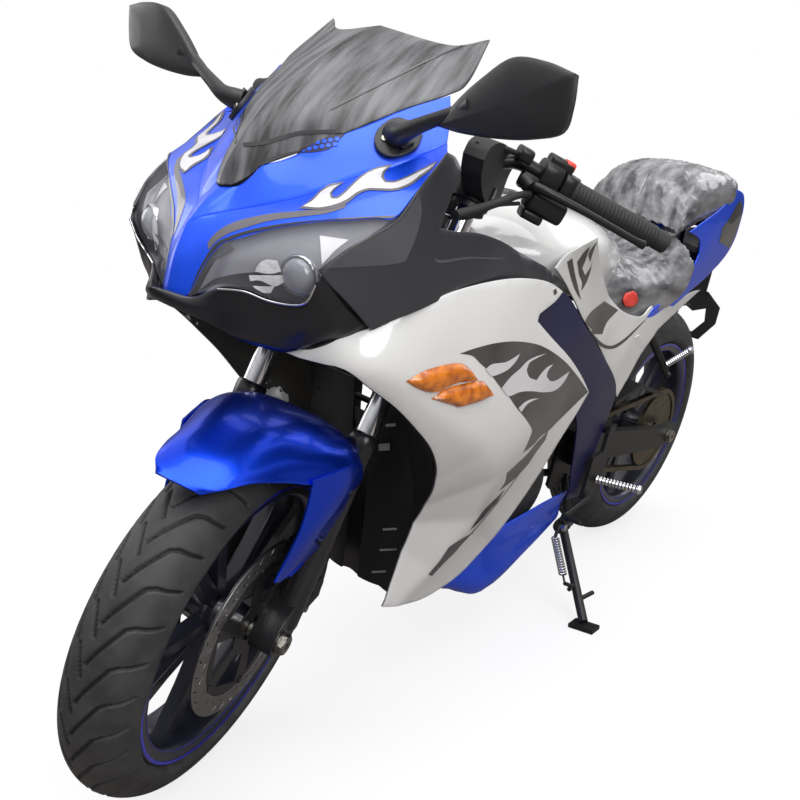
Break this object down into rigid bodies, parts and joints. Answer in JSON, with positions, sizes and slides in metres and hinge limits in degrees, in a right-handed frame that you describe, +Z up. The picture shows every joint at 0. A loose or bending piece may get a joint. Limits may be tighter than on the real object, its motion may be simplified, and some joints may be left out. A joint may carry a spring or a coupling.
{
  "type": "sport motorcycle",
  "caption": "Small full-fairing sport motorcycle parked on its side stand, with turning steering and two rolling wheels.",
  "frame": {"origin": "on the floor under the middle of the bike's bounding box, as parked", "axes": "+X forward, +Y to the rider's left, +Z up; the bike leans to its left on the side stand"},
  "size_m": [1.9605, 0.7902, 1.1308],
  "materials": {
    "blue_paint": "metallic gloss",
    "white_paint": "pearl gloss",
    "black_plastic": "satin",
    "navy_plastic": "gloss",
    "smoked_screen": "gloss",
    "lamp_lens": "gloss",
    "orange_lens": "gloss",
    "red_lens": "gloss",
    "seat_cover_black": "satin",
    "tyre_rubber": "matte",
    "grip_rubber": "matte",
    "black_metal": "satin",
    "cast_metal": "cast",
    "polished_metal": "polished",
    "steel": "brushed",
    "chrome": "polished"
  },
  "bodies": {
    "front_wheel": {"front_tyre": "tyre_rubber", "front_rim": "black_metal", "front_brake_discs": "steel"},
    "rear_wheel": {"rear_tyre": "tyre_rubber", "rear_rim": "black_metal", "rear_brake_disc": "steel", "rear_sprocket": "steel"},
    "steering": {"front_axle": "steel", "fork_tubes": "chrome", "fork_sliders": "black_metal", "yokes": "black_metal", "clip_on_bars": "black_metal", "grips": "grip_rubber", "switchgear": "black_plastic", "brake_and_clutch_levers": "black_metal", "front_mudguard": "blue_paint", "front_calipers": "black_metal"},
    "chassis": {"rear_axle": "steel", "rear_caliper": "black_metal", "side_fairings": "white_paint", "side_cowls": "black_plastic", "knee_panels": "navy_plastic", "seat_covers": "white_paint", "tail_cowls": "blue_paint", "inner_fairings": "black_plastic", "windscreen": "smoked_screen", "nose_fairing": "blue_paint", "belly_pan": "blue_paint", "nose_chin": "black_plastic", "headlights": "lamp_lens", "fuel_tank": "white_paint", "seat_front": "seat_cover_black", "seat_rear": "seat_cover_black", "tail_light": "red_lens", "tail_tray": "black_plastic", "instrument_cluster": "black_plastic", "mirrors": "black_plastic", "front_indicators": "orange_lens", "plate_bracket": "black_plastic", "main_frame": "black_metal", "engine": "cast_metal", "rear_shock": "black_metal", "chain": "steel", "chain_guard": "black_plastic", "rear_hugger": "black_plastic", "swingarm": "black_metal", "exhaust": "cast_metal", "peg_hangers": "black_metal", "foot_pegs": "polished_metal", "gear_and_brake_pedals": "black_metal"},
    "side_stand": {"side_stand": "black_metal"}
  },
  "joints": [
    {"name": "steering_turn", "type": "hinge", "parent": "chassis", "child": "steering", "pos_m": [0.39586, -0.03393, 0.77926], "axis": [-0.4463, 0.1689, 0.8788], "range_deg": [-40, 0]},
    {"name": "front_wheel_spin", "type": "hinge", "parent": "steering", "child": "front_wheel", "pos_m": [0.69888, -0.11298, 0.27987], "axis": [-0.3067, 0.8937, -0.3275], "continuous": true},
    {"name": "rear_wheel_spin", "type": "hinge", "parent": "chassis", "child": "rear_wheel", "pos_m": [-0.66641, -0.12507, 0.3096], "axis": [-0.0006, 0.982, -0.1891], "continuous": true},
    {"name": "side_stand_fold", "type": "hinge", "parent": "chassis", "child": "side_stand", "pos_m": [-0.18889, -0.02759, 0.16902], "axis": [0.1964, 0.6959, 0.6908], "range_deg": [0, 122.2]}
  ]
}
